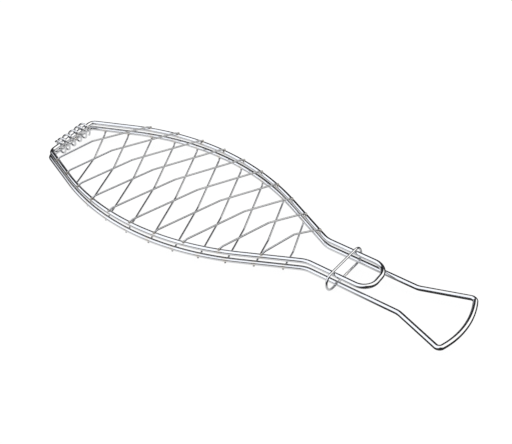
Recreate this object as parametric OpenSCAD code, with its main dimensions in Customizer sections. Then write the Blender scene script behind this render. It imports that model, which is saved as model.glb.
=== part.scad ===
// Fish-shaped grill basket: two hinged wire halves, held shut by a sliding oblong ring.
// Millimetres. X runs from the nose hinge to the handle's tail, Z is up and Y is across.
// The origin is under the middle of the basket, on the surface that it stands on.

/* [Frames] */
// Diameter of the thick wire that both frames are bent from
frame_wire = 4.6; // [4:0.1:5]
// Height between the centrelines of the two frames
frame_spacing = 8.4; // [8.2:0.1:9.2]
// Distance from the lower nose bar to the bow that closes the tail
basket_length = 450; // [446:1:456]
// Half of the width across the fish body at its widest, to the wire's centreline
belly_half = 66.8; // [65:0.2:69]
// Half of the width across the corners of the nose
nose_half = 29.5; // [28.5:0.5:31]
// Half of the distance between the two handle rails
rail_half = 16.8; // [16.5:0.1:17.2]
// Half of the width across the corners of the fish tail
tail_half = 32.6; // [31:0.2:34]
// How far the upper nose bar sits behind the lower one
nose_step = 4; // [3:0.5:5]
// How much narrower the upper frame is than the lower one, on each side
upper_inset = 0.6; // [0:0.1:1]

/* [Grids] */
// Diameter of the thin grid wire
grid_wire = 1.8; // [1.6:0.1:2]
// Distance between neighbouring upper grid wires along the ridge
upper_pitch = 27.4; // [26.5:0.1:27.8]
// Distance between neighbouring lower grid wires along the ridge
lower_pitch = 27.7; // [26.5:0.1:28]
// Height of each grid's ridge over the ends of its wires
ridge_rise = 7; // [5:0.2:8]
// Angle of the upper grid wires to the Y axis
upper_slant = 24.8; // [20:0.2:27]
// Angle of the first lower grid wire to the Y axis
lower_slant = 23.2; // [20:0.2:25]
// How much less each following lower grid wire slants
lower_fan = 0.6; // [0:0.1:0.8]

/* [Hinge coil] */
// Diameter of the coil's wire
coil_wire = 2; // [1.6:0.1:2.2]
// Gap between the coil and each nose bar
coil_play = 0.45; // [0.4:0.05:0.8]
// Width of the coil as a share of its height
coil_squash = 0.82; // [0.8:0.01:1]
// Half of the coil's length, to the wire's centreline
coil_half_length = 18.6; // [16:0.2:19]

/* [Lock ring] */
// Diameter of the ring's wire
ring_wire = 2.3; // [2:0.1:2.5]
// Distance of the ring from the lower nose bar
ring_place = 336; // [332:0.5:342]
// Lean of the ring's lower bar towards the handle
ring_lean = 6.5; // [0:0.5:10]
// Turn of the ring about the vertical, its far end towards the handle
ring_turn = 2.5; // [0:0.5:3]

/* [Hidden] */
GRID_COUNT = 10;
function two_digits(i) = str(i < 10 ? "0" : "", i);
UPPER_GRID = [for (i = [1 : GRID_COUNT]) str("upper_grid_wire_", two_digits(i))];
LOWER_GRID = [for (i = [1 : GRID_COUNT]) str("lower_grid_wire_", two_digits(i))];

// Heights, measured from the plane half way between the two frames
frame_z = frame_spacing / 2;
weld_bite = 0.2;
tab_z = frame_z + frame_wire / 2 + grid_wire / 2 - weld_bite;
ridge_z = tab_z + ridge_rise;

// Places along the basket, measured from the lower nose bar
belly_x = 151;
neck_x = 306.5;
flare_x = 398;
loop_end_x = 369;
tail_depth = 7;
tail_x = basket_length - tail_depth;

// Bend radii of the frames' wire
nose_bend = 7;
neck_bend = 22;
flare_bend = 14;
tail_bend = 3.8;
loop_bend = 13;

// The bows of the belly and of the tail are each one arc between two straight tangents.
// The tangents meet this far outside the arc.
belly_reach = 23.2;
tail_reach = 6;
function arc_radius(reach, half_turn) = reach / (1 / cos(half_turn) - 1);
nose_angle = atan((belly_half + belly_reach - nose_half) / belly_x);
neck_angle = atan((belly_half + belly_reach - rail_half) / (neck_x - belly_x));
belly_half_turn = (nose_angle + neck_angle) / 2;
belly_bend = arc_radius(belly_reach, belly_half_turn);
tail_bow = arc_radius(tail_reach, atan((tail_depth + tail_reach) / tail_half));

// Grid wires: the flat tab on the frame, the step beside it, and the bend at the ridge
upper_tab_past = 0.6;
lower_tab_past = 1.5;
tab_run = 1.6;
step_run = 2.6;
step_rise = 1.3;
step_bend = 2;
ridge_bend = 3.5;
upper_grid_x = 39.6;
lower_grid_x = 30.9;
upper_ridge_y = -3;
lower_ridge_y = 2;

// Fineness of the wires: sides round a wire, and degrees from one ring of a bend to the next, which are
// fewer in a bend whose radius is over wide_bend
frame_sides = 12;
grid_sides = 8;
wide_bend = 50;
wide_step = 3;
tight_step = 13;

// Hinge coil: its oval is taller along the line between the two nose bars. The turns are close together
// at the ends and far apart in the middle, as the sine of an angle that grows evenly to coil_crowding.
coil_turns = 5.5;
coil_start = 0.06;
coil_y = 1.8;
coil_crowding = 69;
coil_tall = norm([nose_step, frame_spacing]) / 2 + frame_wire / 2 + coil_play + coil_wire / 2;
coil_wide = coil_tall * coil_squash;
coil_tilt = atan(frame_spacing / nose_step);
coil_sides = 8;
coil_steps = 20;
coil_nudge = 0.001;

// Lock ring
ring_play = 0.55;
ring_half_height = frame_z + frame_wire / 2 + ring_wire / 2 + ring_play;
ring_half_length = 25.9;
ring_end_flat = 0.4;
ring_bend = ring_half_height - ring_end_flat / 2;
ring_y = -2.2;

// Where the whole basket stands
front_x = basket_length + frame_wire / 2;
back_x = nose_step / 2 - norm([coil_tall * cos(coil_tilt), coil_wide * sin(coil_tilt)]) - coil_wire / 2;
middle_x = (front_x + back_x) / 2;
floor_z = ridge_z + grid_wire / 2;

function unit(v) = v / norm(v);

// Half of the angle that a wire turns through at the point p, between its neighbours a and b
function half_turn(a, p, b) = 90 - acos(unit(a - p) * unit(b - p)) / 2;

// The stations of one bend: points on its arc, each with the wire's direction there
function bend_stations(a, p, b, r) =
    let (half = half_turn(a, p, b),
         inwards = unit(unit(a - p) + unit(b - p)),
         onwards = unit(unit(b - p) - unit(a - p)),
         centre = p + inwards * r / cos(half),
         steps = ceil(2 * half / (r > wide_bend ? wide_step : tight_step)))
    [for (i = [0 : steps])
        let (turn = half * (2 * i / steps - 1))
        [centre - r * cos(turn) * inwards + r * sin(turn) * onwards,
         sin(turn) * inwards + cos(turn) * onwards]];

// The stations of an open wire, with its two ends, or of a closed one that has only bends
function wire_stations(points, bends, closed) =
    let (count = len(points),
         inner = [for (i = [closed ? 0 : 1 : closed ? count - 1 : count - 2])
             each bend_stations(points[(i + count - 1) % count], points[i], points[(i + 1) % count],
                                bends[i])])
    closed ? inner
    : concat([[points[0], unit(points[1] - points[0])]], inner,
             [[points[count - 1], unit(points[count - 1] - points[count - 2])]]);

// A list from its last item to its first
function backwards(list) = [for (i = [len(list) - 1 : -1 : 0]) list[i]];

// A skin over rings of points, each with the same number of sides
module skin(rings, sides, closed) {
    count = len(rings);
    walls = [for (ring = [0 : closed ? count - 1 : count - 2]) for (side = [0 : sides - 1])
        let (here = ring * sides, there = (ring + 1) % count * sides, next = (side + 1) % sides)
        [here + side, there + side, there + next, here + next]];
    first_cap = [for (side = [0 : sides - 1]) side];
    last_cap = backwards([for (side = first_cap) (count - 1) * sides + side]);
    points = [for (ring = rings) each ring];
    polyhedron(points, closed ? walls : concat([first_cap], walls, [last_cap]));
}

// Round wire bent in one plane, whose normal is given, through corner points with bend radii
module wire(points, bends, normal, d, sides, closed = false) {
    rings = [for (station = wire_stations(points, bends, closed))
        let (across = cross(normal, station[1]))
        [for (side = [0 : sides - 1])
            station[0] + d / 2 * (cos(360 * side / sides) * across + sin(360 * side / sides) * normal)]];
    skin(rings, sides, closed);
}

// The far side of an outline: the near side mirrored across the XZ plane, from its last point to its first
function far_side(near_side) = [for (p = backwards(near_side)) [p.x, -p.y, p.z]];

module lower_frame() {
    z = -frame_z;
    near_side = [[0, -nose_half, z], [belly_x, -belly_half - belly_reach, z], [neck_x, -rail_half, z],
                 [flare_x, -rail_half, z], [tail_x, -tail_half, z]];
    points = concat(near_side, [[basket_length + tail_reach, 0, z]], far_side(near_side));
    near_bends = [nose_bend, belly_bend, neck_bend, flare_bend, tail_bend];
    bends = concat(near_bends, [tail_bow], backwards(near_bends));
    color("silver") wire(points, bends, [0, 0, 1], frame_wire, frame_sides, closed = true);
}

module upper_frame() {
    z = frame_z;
    near_side = [[nose_step, -nose_half, z], [belly_x, -belly_half - belly_reach + upper_inset, z],
                 [neck_x, -rail_half + upper_inset, z], [loop_end_x, -rail_half + upper_inset, z]];
    near_bends = [nose_bend, belly_bend, neck_bend, loop_bend];
    points = concat(near_side, far_side(near_side));
    bends = concat(near_bends, backwards(near_bends));
    color("silver") wire(points, bends, [0, 0, 1], frame_wire, frame_sides, closed = true);
}

// Half of the lower frame's width at a distance x from its nose bar: a slope, the belly's bow and a slope
belly_set_back = belly_bend * tan(belly_half_turn);
bow_start = belly_x - belly_set_back * cos(nose_angle);
bow_end = belly_x + belly_set_back * cos(neck_angle);
bow_x = bow_start + belly_bend * sin(nose_angle);
bow_y = nose_half + tan(nose_angle) * bow_start - belly_bend * cos(nose_angle);
function half_width(x) =
    x < bow_start ? nose_half + tan(nose_angle) * x
    : x < bow_end ? bow_y + sqrt(belly_bend ^ 2 - (x - bow_x) ^ 2)
    : rail_half + tan(neck_angle) * (neck_x - x);

// Distance from the middle line at which a slanted wire meets the frame: the stretch that it lies in is
// halved until it is shorter than close_enough.
close_enough = 0.00001;
function meets_frame(x, slope, low = 0, high = belly_half + belly_reach) =
    let (middle = (low + high) / 2)
    high - low < close_enough ? middle
    : half_width(x + slope * middle) > middle ? meets_frame(x, slope, middle, high)
    : meets_frame(x, slope, low, middle);

// One grid wire that crosses the middle at x, with slope dx/dy; side is 1 on top and -1 underneath.
// Its ridge is at ridge_y, and its tips reach tab_past beyond the frame's centreline.
module grid_rod(x, slope, side, ridge_y, tab_past) {
    function at(y, z) = [x + slope * y, y, side * z];
    lean = 1 / sqrt(1 + slope ^ 2);
    function half_rod(reach) = [[reach + tab_past * lean, tab_z], [reach - tab_run * lean, tab_z],
                                [reach - (tab_run + step_run) * lean, tab_z + step_rise]];
    near_half = [for (p = half_rod(meets_frame(x, -slope))) at(-p[0], p[1])];
    far_half = [for (p = backwards(half_rod(meets_frame(x, slope)))) at(p[0], p[1])];
    points = concat(near_half, [at(ridge_y, ridge_z)], far_half);
    bends = [0, step_bend, step_bend, ridge_bend, step_bend, step_bend, 0];
    wire(points, bends, [lean, -slope * lean, 0], grid_wire, grid_sides);
}

module upper_grid_wire(i) {
    color("lightgray")
        grid_rod(upper_grid_x + upper_pitch * i, tan(upper_slant), 1, upper_ridge_y, upper_tab_past);
}

module lower_grid_wire(i) {
    slant = lower_slant - lower_fan * i;
    color("lightgray")
        grid_rod(lower_grid_x + lower_pitch * i, -tan(slant), -1, lower_ridge_y, lower_tab_past);
}

// Centreline of the coil after a number of turns: an oval, tilted with the nose bars, carried along Y
function coil_point(turns) =
    let (angle = 360 * turns, tall = coil_tall * sin(angle), wide = coil_wide * cos(angle),
         way = 2 * (turns - coil_start) / coil_turns - 1)
    [nose_step / 2 + tall * cos(coil_tilt) - wide * sin(coil_tilt),
     coil_y + coil_half_length * sin(coil_crowding * way) / sin(coil_crowding),
     tall * sin(coil_tilt) + wide * cos(coil_tilt)];

// A ring of points round the coil's centreline
function coil_ring(turns) =
    let (direction = unit(coil_point(turns + coil_nudge) - coil_point(turns - coil_nudge)),
         across = unit(cross([0, 1, 0], direction)),
         along = cross(direction, across))
    [for (side = [0 : coil_sides - 1])
        let (around = 360 * side / coil_sides)
        coil_point(turns) + coil_wire / 2 * (cos(around) * across + sin(around) * along)];

module hinge_coil() {
    rings = [for (step = [0 : coil_turns * coil_steps]) coil_ring(coil_start + step / coil_steps)];
    color("gainsboro") skin(rings, coil_sides, closed = false);
}

// An oblong ring with rounded ends, leaning with its lower bar towards the handle
module lock_ring() {
    y = ring_half_length;
    h = ring_half_height;
    points = [[0, -y, h], [0, y, h], [0, y, -h], [0, -y, -h]];
    bends = [for (corner = points) ring_bend];
    color("gainsboro")
        translate([ring_place, ring_y, 0])
            rotate([0, -ring_lean, -ring_turn])
                wire(points, bends, [1, 0, 0], ring_wire, frame_sides, closed = true);
}

translate([-middle_x, 0, floor_z]) {
    lower_frame();
    upper_frame();
    hinge_coil();
    lock_ring();
    for (i = [0 : GRID_COUNT - 1]) {
        upper_grid_wire(i);
        lower_grid_wire(i);
    }
}
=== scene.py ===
"""Looks for a fish-shaped wire grill basket: every wire, weld and cut end, the plating, and a plain studio."""

import math

import bpy
import numpy as np
from bpy.props import FloatProperty, FloatVectorProperty, PointerProperty
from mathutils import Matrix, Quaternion, Vector


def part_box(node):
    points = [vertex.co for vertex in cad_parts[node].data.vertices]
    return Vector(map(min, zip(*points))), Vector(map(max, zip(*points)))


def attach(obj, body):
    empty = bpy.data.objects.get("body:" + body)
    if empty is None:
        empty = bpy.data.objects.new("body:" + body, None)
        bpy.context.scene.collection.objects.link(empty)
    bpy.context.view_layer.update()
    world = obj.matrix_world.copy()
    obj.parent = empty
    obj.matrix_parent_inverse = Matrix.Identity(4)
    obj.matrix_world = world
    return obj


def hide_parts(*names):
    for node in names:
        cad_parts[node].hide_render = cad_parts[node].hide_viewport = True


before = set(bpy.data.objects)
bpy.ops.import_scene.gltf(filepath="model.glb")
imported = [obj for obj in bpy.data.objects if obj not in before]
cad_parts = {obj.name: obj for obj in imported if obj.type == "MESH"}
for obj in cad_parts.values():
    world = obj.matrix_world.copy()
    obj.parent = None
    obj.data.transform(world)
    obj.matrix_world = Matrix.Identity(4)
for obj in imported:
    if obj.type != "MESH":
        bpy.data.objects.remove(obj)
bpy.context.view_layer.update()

bl_info = {
    "name": "Fish Grill Basket",
    "version": (1, 0, 0),
    "blender": (4, 5, 0),
    "location": "3D View > Sidebar > Basket",
    "description": "Bends, welds and plates the wires of a fish-shaped grill basket",
    "category": "Add Mesh",
}

MM = 0.001
GRID_COUNT = 10
LOWER_LOW, LOWER_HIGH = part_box("lower_frame")
UPPER_LOW, UPPER_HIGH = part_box("upper_frame")
COIL_LOW, COIL_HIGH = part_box("hinge_coil")
RING_LOW, RING_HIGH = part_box("lock_ring")
UPPER_GRID_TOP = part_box("upper_grid_wire_05")[1].z
FRAME_WIRE = LOWER_HIGH.z - LOWER_LOW.z
NOSE_X = LOWER_LOW.x + FRAME_WIRE / 2


# ---------------------------------------------------------------- sizes and finishes


KEY_LIGHT = ((-0.36, -0.5, 0.79), 40, 49, (0.93, 0.95, 1.0))
FILL_LIGHT = ((0.44, 0.4, 0.8), 33, 42, (1.0, 0.99, 0.97))
SOFT_LIGHTS = (KEY_LIGHT, FILL_LIGHT)
# Painted reflection on the floor: the middle and half sizes of the bright patch that the plating mirrors under the
# body, and the painted dark that it mirrors beyond.
PAINTED_REFLECTION_CENTRE, PAINTED_REFLECTION_HALF, PAINTED_REFLECTION_DARK = (-0.055, 0, 0), (0.19, 0.16, 1), 0.05


class BasketSizes(bpy.types.PropertyGroup):
    """Sizes of the basket's wires and the places of their bends."""

    frame_wire: FloatProperty(
        name="Frame wire", description="Diameter of the thick frame wire", default=FRAME_WIRE, unit="LENGTH"
    )
    grid_wire: FloatProperty(
        name="Grid wire", description="Diameter of the thin grid wire", default=1.8 * MM, unit="LENGTH"
    )
    coil_wire: FloatProperty(
        name="Coil wire", description="Diameter of the hinge coil's wire", default=2 * MM, unit="LENGTH"
    )
    ring_wire: FloatProperty(
        name="Ring wire", description="Diameter of the lock ring's wire", default=2.3 * MM, unit="LENGTH"
    )
    nose_half: FloatProperty(
        name="Nose half width", description="Half of the width across the nose's corners",
        default=29.5 * MM, unit="LENGTH",
    )
    rail_half: FloatProperty(
        name="Rail half width", description="Half of the distance between the handle rails",
        default=16.8 * MM, unit="LENGTH",
    )
    tail_half: FloatProperty(
        name="Tail half width", description="Half of the width across the fish tail's corners",
        default=32.6 * MM, unit="LENGTH",
    )
    upper_inset: FloatProperty(
        name="Upper inset", description="How much narrower the upper frame is on each side",
        default=0.6 * MM, unit="LENGTH",
    )
    upper_pitch: FloatProperty(
        name="Upper pitch", description="Distance between upper grid wires along the ridge",
        default=27.4 * MM, unit="LENGTH",
    )
    lower_pitch: FloatProperty(
        name="Lower pitch", description="Distance between lower grid wires along the ridge",
        default=27.7 * MM, unit="LENGTH",
    )
    upper_slant: FloatProperty(
        name="Upper slant", description="Angle of the upper grid wires to the Y axis",
        default=math.radians(24.8), subtype="ANGLE",
    )
    lower_slant: FloatProperty(
        name="Lower slant", description="Angle of the first lower grid wire to the Y axis",
        default=math.radians(23.2), subtype="ANGLE",
    )
    lower_fan: FloatProperty(
        name="Lower fan", description="How much less each following lower grid wire slants",
        default=math.radians(0.6), subtype="ANGLE",
    )
    coil_turns: FloatProperty(name="Coil turns", description="Turns of the hinge coil", default=5.5, min=1)
    coil_half_length: FloatProperty(
        name="Coil half length", description="Half of the coil's length, to the wire's centreline",
        default=18.6 * MM, unit="LENGTH",
    )
    coil_play: FloatProperty(
        name="Coil play", description="Gap between the coil and each nose bar", default=0.45 * MM, unit="LENGTH"
    )
    coil_squash: FloatProperty(
        name="Coil squash", description="Width of the coil as a share of its height", default=0.82, min=0.5, max=1
    )
    ring_lean: FloatProperty(
        name="Ring lean", description="Lean of the ring's lower bar towards the handle",
        default=math.radians(6.5), subtype="ANGLE",
    )
    ring_turn: FloatProperty(
        name="Ring turn", description="Turn of the ring about the vertical, its far end towards the handle",
        default=math.radians(2.5), subtype="ANGLE",
    )


class BasketFinish(bpy.types.PropertyGroup):
    """Colours and polish of the plating, and the painted shade of the grid wires."""

    bright: FloatVectorProperty(
        name="Bright plating", description="Colour of the plating where it is cleanest",
        default=(0.62, 0.625, 0.635), subtype="COLOR",
    )
    dull: FloatVectorProperty(
        name="Dull plating", description="Colour of the plating where it is thin or stained",
        default=(0.46, 0.465, 0.475), subtype="COLOR",
    )
    weld_tone: FloatVectorProperty(
        name="Weld tone", description="Colour of the plating beside a weld", default=(0.60, 0.54, 0.45),
        subtype="COLOR",
    )
    frame_polish: FloatProperty(
        name="Frame polish", description="Roughness of the frames' plating", default=0.07, min=0, max=1
    )
    # Painted shade: the grid wires and their weld beads take the thin wires' plating with every colour darkened by
    # this share.
    grid_painted_shade: FloatProperty(
        name="Grid painted shade", description="Brightness of the grid wires' plating beside the frames'", default=0.7,
        min=0.1, max=1,
    )
    thin_polish: FloatProperty(
        name="Thin wire polish", description="Roughness of the thin wires' plating", default=0.12, min=0, max=1
    )


class BasketStudio(bpy.types.PropertyGroup):
    """Where the camera stands and how bright the studio is."""

    azimuth: FloatProperty(
        name="Azimuth", description="Camera's turn round the basket", default=math.radians(38.75), subtype="ANGLE"
    )
    elevation: FloatProperty(
        name="Elevation", description="Camera's height over the horizon", default=math.radians(42.13),
        subtype="ANGLE",
    )
    roll: FloatProperty(
        name="Roll", description="Camera's turn about its own line of sight", default=math.radians(-3.4),
        subtype="ANGLE",
    )
    distance: FloatProperty(
        name="Distance", description="From the camera to its aim", default=0.811, unit="LENGTH"
    )
    aim: FloatVectorProperty(
        name="Aim", description="Point that the camera looks at", default=(0.0144, 0.0037, 0.0151), subtype="XYZ"
    )
    lens: FloatProperty(name="Lens", description="Focal length in millimetres", default=62.3, min=10)
    sky: FloatProperty(name="Light", description="Brightness of the soft lights", default=1.8, min=0)
    gloom: FloatVectorProperty(
        name="Gloom", description="Colour of the dark room round the lights", default=(0.02, 0.02, 0.022),
        subtype="COLOR",
    )


# ---------------------------------------------------------------- shapes, as arrays


def unit(v):
    """A vector, or each row of an array of vectors, divided by its length."""
    v = np.asarray(v, float)
    return v / np.linalg.norm(v, axis=-1, keepdims=True)


def straight(start, end, spacing):
    """Stations on a straight stretch: points evenly spaced from start towards end, without the two ends."""
    length = np.linalg.norm(end - start)
    count = int(length // spacing)
    t = np.linspace(0, 1, count + 2)[1:-1, None]
    return start + t * (end - start), np.repeat(unit(end - start)[None], count, 0)


def bend(last, corner, following, radius, step):
    """Stations of a bend: an arc of the given radius, tangent to both straight lines that meet at the corner."""
    inwards = unit(unit(last - corner) + unit(following - corner))
    onwards = unit(unit(following - corner) - unit(last - corner))
    half = math.pi / 2 - math.acos(np.clip(unit(last - corner) @ unit(following - corner), -1, 1)) / 2
    centre = corner + inwards * radius / math.cos(half)
    turn = np.linspace(-half, half, max(3, math.ceil(2 * half / step) + 1))[:, None]
    points = centre - radius * np.cos(turn) * inwards + radius * np.sin(turn) * onwards
    return points, np.sin(turn) * inwards + np.cos(turn) * onwards


def wire_line(corners, bends, closed, spacing, step=math.radians(4)):
    """Centreline of a bent wire: straight stretches between arcs that round off its corners.
    Gives points and the wire's direction at each of them."""
    corners = [np.asarray(c, float) for c in corners]
    count = len(corners)
    inner = range(count) if closed else range(1, count - 1)
    arcs = {
        i: bend(corners[i - 1], corners[i], corners[(i + 1) % count], bends[i], step if bends[i] < 50 * MM else step / 8)
        for i in inner
    }
    if not closed:
        for i, other in ((0, 1), (count - 1, count - 2)):
            along = unit(corners[other] - corners[i]) * (1 if i == 0 else -1)
            arcs[i] = (corners[i][None], along[None])
    points, directions = [], []
    for i in range(count):
        points.append(arcs[i][0])
        directions.append(arcs[i][1])
        if closed or i < count - 1:
            between = straight(arcs[i][0][-1], arcs[(i + 1) % count][0][0], spacing)
            points.append(between[0])
            directions.append(between[1])
    return np.concatenate(points), unit(np.concatenate(directions))


def tube(points, directions, normals, width, height, sides):
    """A tube: an ellipse carried along a line. A point on it is the line's point, plus the across vector times
    half the width times the cosine of an angle, plus the normal times half the height times its sine."""
    normals = np.broadcast_to(normals, points.shape)
    across = unit(np.cross(normals, directions))
    normals = unit(np.cross(directions, across))
    angle = np.linspace(0, 2 * math.pi, sides, endpoint=False)[None, :, None]
    width = np.broadcast_to(width, len(points))[:, None, None] / 2
    height = np.broadcast_to(height, len(points))[:, None, None] / 2
    return (
        points[:, None] + width * np.cos(angle) * across[:, None] + height * np.sin(angle) * normals[:, None]
    )


def cut_ends(points, directions, radius):
    """Rounds the rims of a wire's two sheared ends: from the tip inwards, a ring's radius follows a quarter
    circle up to the full radius. Gives the line, its directions and each ring's share of the full radius."""
    rim = 0.35 * radius
    turn = np.radians([90, 60, 30, 0])
    depth = (rim * (1 - np.sin(turn)))[:, None]
    share = 1 - rim / radius * (1 - np.cos(turn))
    along = arc_lengths(points)
    body = (along > 1.5 * rim) & (along < along[-1] - 1.5 * rim)
    first, last = points[0] + depth * directions[0], points[-1] - depth[::-1] * directions[-1]
    line = np.concatenate([first, points[body], last])
    ways = np.concatenate([np.repeat(directions[:1], 4, 0), directions[body], np.repeat(directions[-1:], 4, 0)])
    return line, ways, np.concatenate([share, np.ones(body.sum()), share[::-1]])


def arc_lengths(points):
    """Distance along a line from its first point to each point."""
    steps = np.linalg.norm(np.diff(points, axis=0), axis=1)
    return np.concatenate([[0], np.cumsum(steps)])


def butt_weld(points, place):
    """How near each point is to a closing weld: a bell curve of the distance from the weld's place."""
    distance = np.linalg.norm(points - np.asarray(place, float), axis=1)
    return np.exp(-((distance / (1.1 * MM)) ** 2))


def build_piece(name, shells, material, body, replaces=()):
    """Makes one object from several shells. A shell is rings of points, whether its last ring joins its first,
    and a value for each ring of how near it is to a weld. Open shells get flat caps."""
    verts, faces, uvs, near_weld, offset = [], [], [], [], 0
    for rings, closed, weld in shells:
        count, sides = rings.shape[:2]
        ring = np.arange(count if closed else count - 1)[:, None]
        side = np.arange(sides)[None]
        following, beside = (ring + 1) % count, (side + 1) % sides
        quads = np.stack(
            [ring * sides + side, ring * sides + beside, following * sides + beside, following * sides + side], -1
        ).reshape(-1, 4)
        faces += (quads + offset).tolist()
        middle = rings.mean(1)
        along = arc_lengths(middle)
        step_end = np.append(along, along[-1] + np.linalg.norm(middle[0] - middle[-1]))[1 : len(ring) + 1][:, None]
        around = np.linalg.norm(rings[0, 1] - rings[0, 0])
        u0, u1 = along[: len(ring)][:, None] + 0 * side, step_end + 0 * side
        v0, v1 = (side * around) + 0 * ring, ((side + 1) * around) + 0 * ring
        corner_uv = np.stack([np.stack([u0, v0], -1), np.stack([u0, v1], -1), np.stack([u1, v1], -1),
                              np.stack([u1, v0], -1)], 2)
        uvs.append(corner_uv.reshape(-1, 2))
        if not closed:
            faces += [(np.arange(sides)[::-1] + offset).tolist()]
            faces += [(np.arange(sides) + (count - 1) * sides + offset).tolist()]
            uvs.append(np.zeros((2 * sides, 2)))
        verts.append(rings.reshape(-1, 3))
        near_weld.append(np.repeat(np.broadcast_to(weld, count), sides))
        offset += count * sides
    mesh = bpy.data.meshes.new(name)
    mesh.from_pydata(np.concatenate(verts).tolist(), [], faces)
    mesh.polygons.foreach_set("use_smooth", np.ones(len(mesh.polygons), bool))
    layer = mesh.uv_layers.new(name="along_wire")
    layer.data.foreach_set("uv", np.concatenate(uvs).astype(np.float32).ravel())
    attribute = mesh.attributes.new("near_weld", "FLOAT", "POINT")
    attribute.data.foreach_set("value", np.concatenate(near_weld).astype(np.float32))
    mesh.materials.append(material)
    mesh.validate()
    mesh.update()
    piece = bpy.data.objects.new(name, mesh)
    bpy.context.scene.collection.objects.link(piece)
    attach(piece, body)
    if replaces:
        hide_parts(*replaces)
    return piece


# ---------------------------------------------------------------- the basket's lines

BELLY_X = 151 * MM
NECK_X = 306.5 * MM
FLARE_X = 398 * MM
TAIL_DEPTH = 7 * MM
BELLY_REACH = 23.2 * MM
TAIL_REACH = 6 * MM
NOSE_BEND, NECK_BEND, FLARE_BEND, TAIL_BEND, LOOP_BEND = (7 * MM, 22 * MM, 14 * MM, 3.8 * MM, 13 * MM)
COIL_START, COIL_CROWDING = 0.06, math.radians(69)
RING_FLAT = 0.4 * MM


class Outline:
    """The fish outline's corner points, bend radii and half width, all worked out from the sizes."""

    def __init__(self, sizes):
        self.sizes = sizes
        self.radius = sizes.frame_wire / 2
        self.length = LOWER_HIGH.x - self.radius - NOSE_X
        self.belly_half = LOWER_HIGH.y - self.radius
        peak = self.belly_half + BELLY_REACH
        self.nose_angle = math.atan((peak - sizes.nose_half) / BELLY_X)
        self.neck_angle = math.atan((peak - sizes.rail_half) / (NECK_X - BELLY_X))
        half = (self.nose_angle + self.neck_angle) / 2
        self.peak = peak
        self.belly_bend = BELLY_REACH / (1 / math.cos(half) - 1)
        self.set_back = self.belly_bend * math.tan(half)
        tail_half_turn = math.atan((TAIL_DEPTH + TAIL_REACH) / sizes.tail_half)
        self.tail_bow = TAIL_REACH / (1 / math.cos(tail_half_turn) - 1)

    def lower(self):
        s, tail_x = self.sizes, self.length - TAIL_DEPTH
        half = [(0, s.nose_half), (BELLY_X, self.peak), (NECK_X, s.rail_half), (FLARE_X, s.rail_half),
                (tail_x, s.tail_half)]
        bends = [NOSE_BEND, self.belly_bend, NECK_BEND, FLARE_BEND, TAIL_BEND]
        z = (LOWER_LOW.z + LOWER_HIGH.z) / 2
        near = [(NOSE_X + x, -y, z) for x, y in half]
        far = [(NOSE_X + x, y, z) for x, y in half[::-1]]
        return near + [(NOSE_X + self.length + TAIL_REACH, 0, z)] + far, bends + [self.tail_bow] + bends[::-1]

    def upper(self):
        s, nose_x = self.sizes, UPPER_LOW.x + self.radius
        loop_x, rail = UPPER_HIGH.x - self.radius, s.rail_half - s.upper_inset
        half = [(nose_x, s.nose_half), (NOSE_X + BELLY_X, self.peak - s.upper_inset), (NOSE_X + NECK_X, rail),
                (loop_x, rail)]
        bends = [NOSE_BEND, self.belly_bend, NECK_BEND, LOOP_BEND]
        z = (UPPER_LOW.z + UPPER_HIGH.z) / 2
        return [(x, -y, z) for x, y in half] + [(x, y, z) for x, y in half[::-1]], bends + bends[::-1]

    def half_width(self, x):
        """Half width of the lower frame at a distance x from its nose bar: a slope, an arc and a slope."""
        nose_end = BELLY_X - self.set_back * math.cos(self.nose_angle)
        neck_start = BELLY_X + self.set_back * math.cos(self.neck_angle)
        centre_x = nose_end + self.belly_bend * math.sin(self.nose_angle)
        centre_y = self.peak - self.set_back * math.sin(self.nose_angle) - self.belly_bend * math.cos(self.nose_angle)
        bow = centre_y + np.sqrt(np.maximum(self.belly_bend**2 - (x - centre_x) ** 2, 0))
        near_nose = self.sizes.nose_half + math.tan(self.nose_angle) * x
        near_neck = self.sizes.rail_half + math.tan(self.neck_angle) * (NECK_X - x)
        return np.where(x < nose_end, near_nose, np.where(x < neck_start, bow, near_neck))

    def meets(self, x, slope):
        """Distances from the ridge at which slanted wires meet the frame, found by halving an interval."""
        low, high = np.zeros_like(x), np.full_like(x, 80 * MM)
        for _ in range(30):
            middle = (low + high) / 2
            inside = self.half_width(x + slope * middle) > middle
            low, high = np.where(inside, middle, low), np.where(inside, high, middle)
        return low


# ---------------------------------------------------------------- plating


def node_group(name, inputs, outputs):
    """An empty shader node group with its sockets, and its input and output nodes."""
    group = bpy.data.node_groups.new(name, "ShaderNodeTree")
    for label, kind, default in inputs:
        socket = group.interface.new_socket(label, in_out="INPUT", socket_type=kind)
        if default is not None:
            socket.default_value = default
    for label, kind in outputs:
        group.interface.new_socket(label, in_out="OUTPUT", socket_type=kind)
    return group, group.nodes.new("NodeGroupInput"), group.nodes.new("NodeGroupOutput")


def add(tree, kind, links=(), **settings):
    """Adds a node, sets its attributes or its numbered inputs, and links sockets into its inputs."""
    node = tree.nodes.new(kind)
    for key, value in settings.items():
        if key.startswith("input_"):
            node.inputs[int(key[6:])].default_value = value
        else:
            setattr(node, key, value)
    for index, source in links:
        tree.links.new(source, node.inputs[index])
    return node


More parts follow.
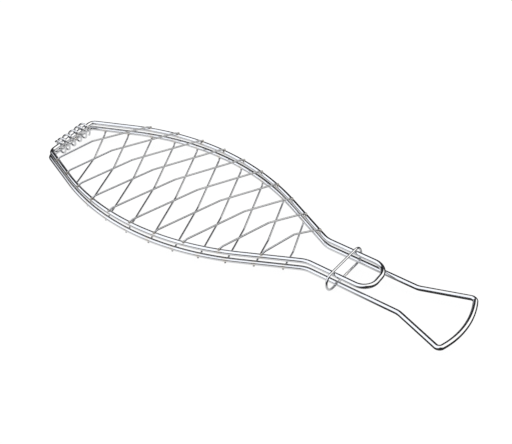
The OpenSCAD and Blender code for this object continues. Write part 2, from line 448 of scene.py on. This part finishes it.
def drawn_wire_group():
    """Fine lines along a drawn wire: noise that is stretched along the wire and very fine round it."""
    group, ins, outs = node_group(
        "Drawn wire lines",
        [("Wire UV", "NodeSocketVector", None), ("Lines", "NodeSocketFloat", 9000.0),
         ("Stretch", "NodeSocketFloat", 90.0)],
        [("Mask", "NodeSocketFloat")],
    )
    scale = add(group, "ShaderNodeCombineXYZ", [(0, ins.outputs["Stretch"]), (1, ins.outputs["Lines"])])
    stretched = add(group, "ShaderNodeVectorMath", [(0, ins.outputs["Wire UV"]), (1, scale.outputs[0])],
                    operation="MULTIPLY")
    noise = add(group, "ShaderNodeTexNoise", [(0, stretched.outputs[0])])
    noise.inputs["Scale"].default_value = 1.0
    noise.inputs["Detail"].default_value = 3.0
    group.links.new(noise.outputs[0], outs.inputs["Mask"])
    return group


def plating_group():
    """Cloudy plating: large soft patches, small specks, and a dull halo round each weld."""
    group, ins, outs = node_group(
        "Plating clouds",
        [("Place", "NodeSocketVector", None), ("Near weld", "NodeSocketFloat", 0.0),
         ("Bright", "NodeSocketColor", (0.9, 0.9, 0.9, 1)), ("Dull", "NodeSocketColor", (0.7, 0.7, 0.7, 1)),
         ("Heat", "NodeSocketColor", (0.7, 0.6, 0.5, 1)), ("Polish", "NodeSocketFloat", 0.08),
         ("Lines", "NodeSocketFloat", 0.5)],
        [("Color", "NodeSocketColor"), ("Roughness", "NodeSocketFloat"), ("Height", "NodeSocketFloat")],
    )
    clouds = add(group, "ShaderNodeTexNoise", [(0, ins.outputs["Place"])])
    clouds.inputs["Scale"].default_value = 55.0
    clouds.inputs["Detail"].default_value = 4.0
    specks = add(group, "ShaderNodeTexNoise", [(0, ins.outputs["Place"])])
    specks.inputs["Scale"].default_value = 1400.0
    specks.inputs["Detail"].default_value = 2.0
    patch = add(group, "ShaderNodeMapRange", [(0, clouds.outputs[0])], input_1=0.35, input_2=0.75, input_3=0.0,
                input_4=0.45)
    speck = add(group, "ShaderNodeMapRange", [(0, specks.outputs[0])], input_1=0.62, input_2=0.8, input_3=0.0,
                input_4=0.5)
    worn = add(group, "ShaderNodeMath", [(0, patch.outputs[0]), (1, speck.outputs[0])], operation="ADD")
    # Beside each weld the plating turns duller and warmer, by the near-weld value times the clouds.
    halo = add(group, "ShaderNodeMath", [(0, ins.outputs["Near weld"]), (1, clouds.outputs[0])],
               operation="MULTIPLY")
    dulled = add(group, "ShaderNodeMath", [(0, worn.outputs[0]), (1, halo.outputs[0])], operation="ADD",
                 use_clamp=True)
    mix = add(group, "ShaderNodeMix", [(0, dulled.outputs[0]), (6, ins.outputs["Bright"]),
                                      (7, ins.outputs["Dull"])], data_type="RGBA")
    tinted = add(group, "ShaderNodeMix", [(0, halo.outputs[0]), (6, mix.outputs[2]), (7, ins.outputs["Heat"])],
                 data_type="RGBA")
    extra = add(group, "ShaderNodeMath", [(0, dulled.outputs[0])], operation="MULTIPLY", input_1=0.10)
    lines = add(group, "ShaderNodeMath", [(0, ins.outputs["Lines"])], operation="MULTIPLY", input_1=0.05)
    rough = add(group, "ShaderNodeMath", [(0, extra.outputs[0]), (1, lines.outputs[0])], operation="ADD")
    total = add(group, "ShaderNodeMath", [(0, rough.outputs[0]), (1, ins.outputs["Polish"])], operation="ADD")
    height = add(group, "ShaderNodeMath", [(0, ins.outputs["Lines"]), (1, specks.outputs[0])], operation="ADD")
    group.links.new(tinted.outputs[2], outs.inputs["Color"])
    group.links.new(total.outputs[0], outs.inputs["Roughness"])
    group.links.new(height.outputs[0], outs.inputs["Height"])
    return group


def shared_group(name, make):
    """The node group of that name, made the first time that it is asked for."""
    return bpy.data.node_groups.get(name) or make()


def plated_wire(name, finish, shade, polish, lines, stretch, bump):
    """Bright plated steel: the plating clouds and drawn lines feed a metallic shader. The shade share darkens every
    plating colour; below one it is painted shade.
    """
    made = bpy.data.materials.get(name)
    if made:
        return made
    material = bpy.data.materials.new(name)
    material.use_nodes = True
    tree = material.node_tree
    shader = tree.nodes["Principled BSDF"]
    shader.inputs["Metallic"].default_value = 1.0
    place = add(tree, "ShaderNodeTexCoord")
    weld = add(tree, "ShaderNodeAttribute", attribute_name="near_weld")
    drawn = add(tree, "ShaderNodeGroup", node_tree=shared_group("Drawn wire lines", drawn_wire_group))
    tree.links.new(place.outputs["UV"], drawn.inputs["Wire UV"])
    drawn.inputs["Lines"].default_value = lines
    drawn.inputs["Stretch"].default_value = stretch
    plating = add(tree, "ShaderNodeGroup", node_tree=shared_group("Plating clouds", plating_group))
    tree.links.new(place.outputs["Object"], plating.inputs["Place"])
    tree.links.new(weld.outputs["Fac"], plating.inputs["Near weld"])
    tree.links.new(drawn.outputs["Mask"], plating.inputs["Lines"])
    # The shade share darkens every colour; for the grid wires it is painted shade.
    for label, colour in (("Bright", finish.bright), ("Dull", finish.dull), ("Heat", finish.weld_tone)):
        plating.inputs[label].default_value = (*(shade * part for part in colour), 1)
    plating.inputs["Polish"].default_value = polish
    tree.links.new(plating.outputs["Color"], shader.inputs["Base Color"])
    tree.links.new(plating.outputs["Roughness"], shader.inputs["Roughness"])
    relief = add(tree, "ShaderNodeBump", [(2, plating.outputs["Height"])])
    relief.inputs["Strength"].default_value = bump
    relief.inputs["Distance"].default_value = 0.02 * MM
    tree.links.new(relief.outputs[0], shader.inputs["Normal"])
    return material


def thick_finish(finish):
    return plated_wire("plated_frame_wire", finish, 1.0, finish.frame_polish, 7000, 60, 0.25)


def thin_finish(finish):
    return plated_wire("plated_thin_wire", finish, 1.0, finish.thin_polish, 12000, 110, 0.35)


# Painted shade: the thin wires' finish with its colours darkened, for the grid wires and their weld beads.
def painted_shade_grid_finish(finish):
    return plated_wire("plated_grid_wire_painted_shade", finish, finish.grid_painted_shade, finish.thin_polish, 12000, 110, 0.35)


# ---------------------------------------------------------------- operators


class BASKET_OT_frames(bpy.types.Operator):
    """Bend the lower and the upper frame from thick wire."""

    bl_idname = "basket.frames"
    bl_label = "Bend frames"

    def execute(self, context):
        sizes = context.scene.basket_sizes
        outline = Outline(sizes)
        material = thick_finish(context.scene.basket_finish)
        for half, (corners, bends) in (("lower", outline.lower()), ("upper", outline.upper())):
            points, directions = wire_line(corners, bends, True, 1.5 * MM, math.radians(3))
            joint = butt_weld(points, (corners[0][0], 6 * MM, corners[0][2]))
            thickness = sizes.frame_wire * (1 + 0.05 * joint)
            rings = tube(points, directions, (0, 0, 1), thickness, thickness, 32)
            weld_tone = np.maximum(joint, near_welds(points, outline, half))
            build_piece(f"{half}_frame_wire", [(rings, True, weld_tone)], material, f"{half}_half",
                        [f"{half}_frame"])
        return {"FINISHED"}


TAB_PAST = {"upper": 0.6 * MM, "lower": 1.5 * MM}
FIRST_WIRE = {"upper": 39.6 * MM, "lower": 30.9 * MM}
RIDGE_Y = {"upper": -3 * MM, "lower": 2 * MM}
TAB_RUN, STEP_RUN, STEP_RISE = 1.6 * MM, 2.6 * MM, 1.3 * MM
STEP_BEND, RIDGE_BEND, WELD_BITE = 2 * MM, 3.5 * MM, 0.2 * MM


def grid_line(outline, half, index):
    """Corner points of one grid wire: a flat tab on the frame, a step, the ridge, and the same again.
    Gives the points, the wire's slope dx/dy and the cosine of its slant."""
    sizes = outline.sizes
    if half == "upper":
        side, slant, pitch = 1, sizes.upper_slant, sizes.upper_pitch
    else:
        side, slant, pitch = -1, sizes.lower_fan * index - sizes.lower_slant, sizes.lower_pitch
    slope, lean = math.tan(slant), math.cos(slant)
    x = np.array([FIRST_WIRE[half] + pitch * index])
    far, near = outline.meets(x, slope)[0], outline.meets(x, -slope)[0]
    middle_z = (LOWER_LOW.z + UPPER_HIGH.z) / 2
    ridge = UPPER_GRID_TOP - middle_z - sizes.grid_wire / 2
    tab = (UPPER_HIGH.z - middle_z) + sizes.grid_wire / 2 - WELD_BITE
    steps = [(TAB_PAST[half], tab), (-TAB_RUN, tab), (-TAB_RUN - STEP_RUN, tab + STEP_RISE)]
    across = [(-near - d * lean, z) for d, z in steps]
    across += [(RIDGE_Y[half], ridge)] + [(far + d * lean, z) for d, z in steps[::-1]]
    return [(NOSE_X + x[0] + slope * y, y, middle_z + side * z) for y, z in across], slope, lean


def weld_places(outline, half):
    """Where a grid's wires cross the frame's centreline, with the wire's way inwards, at both its ends."""
    places = []
    for index in range(GRID_COUNT):
        corners = np.array(grid_line(outline, half, index)[0])
        for tip, inner in ((corners[0], corners[1]), (corners[-1], corners[-2])):
            inwards = unit(inner - tip)
            places.append((tip + inwards * TAB_PAST[half], inwards))
    return places


def near_welds(points, outline, half):
    """How near each point of a frame is to a weld: a bell curve of the level distance to the closest one."""
    welds = np.array([place for place, _ in weld_places(outline, half)])
    distance = np.linalg.norm(points[:, None, :2] - welds[None, :, :2], axis=2).min(1)
    return 0.8 * np.exp(-((distance / (2.4 * MM)) ** 2))


class BASKET_OT_grids(bpy.types.Operator):
    """Lay the slanted grid wires over the upper frame and under the lower one."""

    bl_idname = "basket.grids"
    bl_label = "Lay grid wires"

    def execute(self, context):
        sizes = context.scene.basket_sizes
        outline = Outline(sizes)
        material = painted_shade_grid_finish(context.scene.basket_finish)
        bends = [0, STEP_BEND, STEP_BEND, RIDGE_BEND, STEP_BEND, STEP_BEND, 0]
        for half in ("upper", "lower"):
            for index in range(GRID_COUNT):
                corners, slope, lean = grid_line(outline, half, index)
                points, directions = wire_line(corners, bends, False, 1 * MM, math.radians(5))
                points, directions, share = cut_ends(points, directions, sizes.grid_wire / 2)
                along = arc_lengths(points)
                from_end = np.minimum(along, along[-1] - along)
                pressed = np.exp(-(((from_end - TAB_PAST[half]) / (1.2 * MM)) ** 2))
                tall = sizes.grid_wire * share * (1 - 0.10 * pressed)
                wide = sizes.grid_wire * share * (1 + 0.10 * pressed)
                rings = tube(points, directions, (lean, -slope * lean, 0), tall, wide, 16)
                name = f"{half}_grid_wire_{index + 1:02d}"
                build_piece(f"{name}_bent", [(rings, False, pressed)], material, f"{half}_half", [name])
        return {"FINISHED"}


class BASKET_OT_welds(bpy.types.Operator):
    """Fuse the grid wires to the frames with small beads of squeezed metal."""

    bl_idname = "basket.welds"
    bl_label = "Weld grid wires"

    def execute(self, context):
        sizes = context.scene.basket_sizes
        outline = Outline(sizes)
        material = painted_shade_grid_finish(context.scene.basket_finish)
        reach = np.sin(np.linspace(-math.pi / 2, math.pi / 2, 11)[1:-1])
        swell = np.sqrt(1 - reach**2)
        for half, side in (("upper", 1), ("lower", -1)):
            shells = []
            for place, inwards in weld_places(outline, half):
                centre = place + inwards * 0.4 * MM
                centre[2] -= side * (sizes.grid_wire / 2 - 0.05 * MM)
                points = centre + inwards * (reach * 1.3 * MM)[:, None]
                ways = np.repeat(inwards[None], len(points), 0)
                shells.append((tube(points, ways, (0, 0, 1), 2.7 * MM * swell, 1.1 * MM * swell, 12), False, 1))
            build_piece(f"{half}_welds", shells, material, f"{half}_half")
        return {"FINISHED"}


class BASKET_OT_hinge_coil(bpy.types.Operator):
    """Wind the hinge coil loosely round both nose bars."""

    bl_idname = "basket.hinge_coil"
    bl_label = "Wind hinge coil"

    def execute(self, context):
        sizes = context.scene.basket_sizes
        step, spacing = UPPER_LOW.x - LOWER_LOW.x, UPPER_LOW.z - LOWER_LOW.z
        tilt = math.atan2(spacing, step)
        tall = math.hypot(step, spacing) / 2 + sizes.frame_wire / 2 + sizes.coil_play + sizes.coil_wire / 2
        centre = np.array([NOSE_X + step / 2, (COIL_LOW.y + COIL_HIGH.y) / 2, (LOWER_LOW.z + UPPER_HIGH.z) / 2])
        way = np.linspace(-1, 1, 401)
        angle = 2 * math.pi * (COIL_START + sizes.coil_turns * (way + 1) / 2)
        up, out = tall * np.sin(angle), tall * sizes.coil_squash * np.cos(angle)
        along = sizes.coil_half_length * np.sin(COIL_CROWDING * way) / math.sin(COIL_CROWDING)
        points = centre + np.stack([up * math.cos(tilt) - out * math.sin(tilt), along,
                                    up * math.sin(tilt) + out * math.cos(tilt)], -1)
        directions = unit(np.gradient(points, axis=0))
        points, directions, share = cut_ends(points, directions, sizes.coil_wire / 2)
        outwards = unit(np.cross((0, 1, 0), directions))
        rings = tube(points, directions, outwards, sizes.coil_wire * share, sizes.coil_wire * share, 20)
        build_piece("hinge_coil_wire", [(rings, False, 0)], thin_finish(context.scene.basket_finish), "hinge_coil",
                    ["hinge_coil"])
        return {"FINISHED"}


class BASKET_OT_lock_ring(bpy.types.Operator):
    """Bend the oblong ring that locks the two handles together."""

    bl_idname = "basket.lock_ring"
    bl_label = "Bend lock ring"

    def execute(self, context):
        sizes = context.scene.basket_sizes
        centre = np.array((RING_LOW + RING_HIGH) / 2)
        lean, turn = sizes.ring_lean, sizes.ring_turn
        side = np.array([math.sin(turn), math.cos(turn), 0])
        level = np.array([math.cos(turn), -math.sin(turn), 0])
        up = math.cos(lean) * np.array([0, 0, 1]) - math.sin(lean) * level
        tall = ((RING_HIGH.z - RING_LOW.z) - sizes.ring_wire) / 2 / math.cos(lean)
        bend_radius = tall - RING_FLAT / 2
        straight_half = ((RING_HIGH.y - RING_LOW.y) - sizes.ring_wire) / 2 - bend_radius
        wide = straight_half / math.cos(turn) + bend_radius
        corners = [centre + y * wide * side + z * tall * up for y, z in ((-1, 1), (1, 1), (1, -1), (-1, -1))]
        points, directions = wire_line(corners, [bend_radius] * 4, True, 1 * MM)
        joint = butt_weld(points, centre - tall * up + 3 * MM * side)
        thickness = sizes.ring_wire * (1 + 0.14 * joint)
        rings = tube(points, directions, np.cross(side, up), thickness, thickness, 24)
        build_piece("lock_ring_wire", [(rings, True, joint)], thin_finish(context.scene.basket_finish), "lock_ring",
                    ["lock_ring"])
        return {"FINISHED"}


class BASKET_OT_stage(bpy.types.Operator):
    """Set up the pale floor, the soft light and the camera."""

    bl_idname = "basket.stage"
    bl_label = "Set up studio"

    def execute(self, context):
        studio = context.scene.basket_studio
        self.floor()
        self.light(context.scene, studio)
        self.camera(context.scene, studio)
        return {"FINISHED"}

    def floor(self):
        """A pale floor, evenly white to the camera, which glows so that shadows on it are faint. Everything else sees
        a painted reflection: a bright patch under the basket's body that fades to painted dark beyond it.
        """
        mesh = bpy.data.meshes.new("floor")
        half = 3.0
        mesh.from_pydata([(-half, -half, 0), (half, -half, 0), (half, half, 0), (-half, half, 0)], [], [(0, 1, 2, 3)])
        floor = bpy.data.objects.new("floor", mesh)
        bpy.context.scene.collection.objects.link(floor)
        material = bpy.data.materials.new("pale_floor")
        material.use_nodes = True
        tree = material.node_tree
        shader = tree.nodes["Principled BSDF"]
        shader.inputs["Roughness"].default_value = 1.0
        shader.inputs["Specular IOR Level"].default_value = 0.0
        shader.inputs["Emission Strength"].default_value = 1.0
        place = add(tree, "ShaderNodeTexCoord")
        # Painted reflection: rays from the plating see a bright patch that fades to painted dark, while the camera
        # sees plain white.
        painted_patch = add(tree, "ShaderNodeMapping", [(0, place.outputs["Object"])], vector_type="TEXTURE",
                    input_1=PAINTED_REFLECTION_CENTRE, input_3=PAINTED_REFLECTION_HALF)
        reach = add(tree, "ShaderNodeVectorMath", [(0, painted_patch.outputs[0])], operation="LENGTH")
        painted_fade = add(tree, "ShaderNodeMapRange", [(0, reach.outputs["Value"])], interpolation_type="SMOOTHSTEP",
                   input_1=0.85, input_2=1.15, input_3=1.0, input_4=PAINTED_REFLECTION_DARK)
        path = add(tree, "ShaderNodeLightPath")
        seen = add(tree, "ShaderNodeMix", [(0, path.outputs["Is Camera Ray"]), (2, painted_fade.outputs[0])], input_3=1.0)
        glow = add(tree, "ShaderNodeMath", [(0, seen.outputs[0])], operation="MULTIPLY", input_1=0.9)
        grey = add(tree, "ShaderNodeMath", [(0, seen.outputs[0])], operation="MULTIPLY", input_1=0.12)
        tree.links.new(glow.outputs[0], shader.inputs["Emission Color"])
        tree.links.new(grey.outputs[0], shader.inputs["Base Color"])
        mesh.materials.append(material)

    def light(self, scene, studio):
        """Two large soft lights in a dark room. Each is a round patch of the sky whose brightness falls smoothly
        with the angle from its middle. The backdrop that the camera sees is white."""
        world = bpy.data.worlds.new("studio")
        scene.world = world
        world.use_nodes = True
        tree = world.node_tree
        background = tree.nodes["Background"]
        place = add(tree, "ShaderNodeTexCoord")
        total = None
        for middle, inner, outer, colour in SOFT_LIGHTS:
            near = add(tree, "ShaderNodeVectorMath", [(0, place.outputs["Generated"])], operation="DOT_PRODUCT",
                       input_1=unit(middle))
            glow = add(tree, "ShaderNodeMapRange", [(0, near.outputs["Value"])], interpolation_type="SMOOTHSTEP",
                       input_1=math.cos(math.radians(outer)), input_2=math.cos(math.radians(inner)))
            light = add(tree, "ShaderNodeMix", [(0, glow.outputs[0])], data_type="RGBA",
                        input_6=(*studio.gloom, 1), input_7=(*colour, 1))
            if total is not None:
                light = add(tree, "ShaderNodeMix", [(6, total), (7, light.outputs[2])], data_type="RGBA",
                            blend_type="LIGHTEN", input_0=1.0)
            total = light.outputs[2]
        path = add(tree, "ShaderNodeLightPath")
        mix = add(tree, "ShaderNodeMix", [(0, path.outputs["Is Camera Ray"]), (6, total)],
                  data_type="RGBA", input_7=(1, 1, 1, 1))
        tree.links.new(mix.outputs[2], background.inputs[0])
        background.inputs[1].default_value = studio.sky
        scene.view_settings.view_transform = "Standard"

    def camera(self, scene, studio):
        data = bpy.data.cameras.new("camera")
        data.lens = studio.lens
        data.sensor_width = 36
        camera = bpy.data.objects.new("camera", data)
        scene.collection.objects.link(camera)
        a, e = studio.azimuth, studio.elevation
        back = Vector((math.sin(a) * math.cos(e), -math.cos(a) * math.cos(e), math.sin(e)))
        camera.rotation_mode = "QUATERNION"
        camera.location = Vector(studio.aim) + back * studio.distance
        camera.rotation_quaternion = (-back).to_track_quat("-Z", "Y") @ Quaternion((0, 0, 1), studio.roll)
        scene.camera = camera


class BASKET_PT_panel(bpy.types.Panel):
    """The basket's pieces and sizes in the sidebar."""

    bl_idname = "BASKET_PT_panel"
    bl_label = "Fish Grill Basket"
    bl_space_type = "VIEW_3D"
    bl_region_type = "UI"
    bl_category = "Basket"

    def draw(self, context):
        layout = self.layout
        for operator in OPERATORS:
            layout.operator(operator.bl_idname)
        for group in (context.scene.basket_sizes, context.scene.basket_finish, context.scene.basket_studio):
            column = layout.column(align=True)
            for name in group.__annotations__:
                column.prop(group, name)


GROUPS = {"basket_sizes": BasketSizes, "basket_finish": BasketFinish, "basket_studio": BasketStudio}
OPERATORS = (
    BASKET_OT_stage,
    BASKET_OT_frames,
    BASKET_OT_grids,
    BASKET_OT_welds,
    BASKET_OT_hinge_coil,
    BASKET_OT_lock_ring,
)


def register():
    for cls in (*GROUPS.values(), *OPERATORS, BASKET_PT_panel):
        bpy.utils.register_class(cls)
    for name, group in GROUPS.items():
        setattr(bpy.types.Scene, name, PointerProperty(type=group))


def unregister():
    for name in GROUPS:
        delattr(bpy.types.Scene, name)
    for cls in (BASKET_PT_panel, *reversed(OPERATORS), *reversed(GROUPS.values())):
        bpy.utils.unregister_class(cls)


def main():
    register()
    for operator in OPERATORS:
        group, name = operator.bl_idname.split(".")
        getattr(getattr(bpy.ops, group), name)()


if __name__ == "__main__":
    main()
